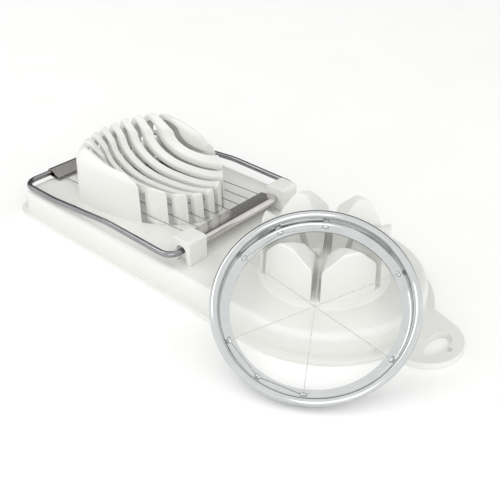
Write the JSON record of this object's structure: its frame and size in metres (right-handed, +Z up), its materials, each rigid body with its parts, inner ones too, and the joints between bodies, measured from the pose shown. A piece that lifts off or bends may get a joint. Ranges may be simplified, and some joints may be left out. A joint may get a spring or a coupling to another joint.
{
  "type": "egg slicer",
  "caption": "Long moulded base with a slatted egg cradle under a hinged wire slicing frame, and a petal crown with a loose wire ring that cuts wedges.",
  "frame": {"origin": "middle of the underside of the base's free end, on the surface it stands on", "axes": "+X along the base from the free end to the hang tab, +Y across the base to the left of +X, +Z up"},
  "size_m": [0.2134, 0.1098, 0.0407],
  "materials": {
    "white_plastic": "moulded white ABS, softly glossy",
    "chrome_rod": "bright chrome plating",
    "dark_strip": "thin folded stainless sheet, reflecting dark",
    "ring_steel": "bright pressed sheet",
    "cutting_wire": "drawn stainless wire"
  },
  "bodies": {
    "base": {"base_shell": "white_plastic", "hinge_block_front": "white_plastic", "hinge_block_rear": "white_plastic", "egg_cradle": "white_plastic", "wedge_crown": "white_plastic"},
    "slicing_frame": {"frame_rod": "chrome_rod", "free_end_channel": "dark_strip", "hinge_plate": "dark_strip", "slicing_wire_1": "cutting_wire", "slicing_wire_2": "cutting_wire", "slicing_wire_3": "cutting_wire", "slicing_wire_4": "cutting_wire", "slicing_wire_5": "cutting_wire", "slicing_wire_6": "cutting_wire", "slicing_wire_7": "cutting_wire", "slicing_wire_8": "cutting_wire"},
    "wedge_cutter": {"cutter_ring": "ring_steel", "wire_lugs": "ring_steel", "wedge_wire": "cutting_wire"}
  },
  "joints": [
    {"name": "frame_hinge", "type": "hinge", "parent": "base", "child": "slicing_frame", "pos_m": [0.103, 0, 0.0162], "axis": [0, 1, 0], "range_deg": [0, 110]},
    {"name": "ring_lift", "type": "slide", "parent": "base", "child": "wedge_cutter", "axis": [0, 0, 1], "range_m": [0, 0.05]}
  ]
}
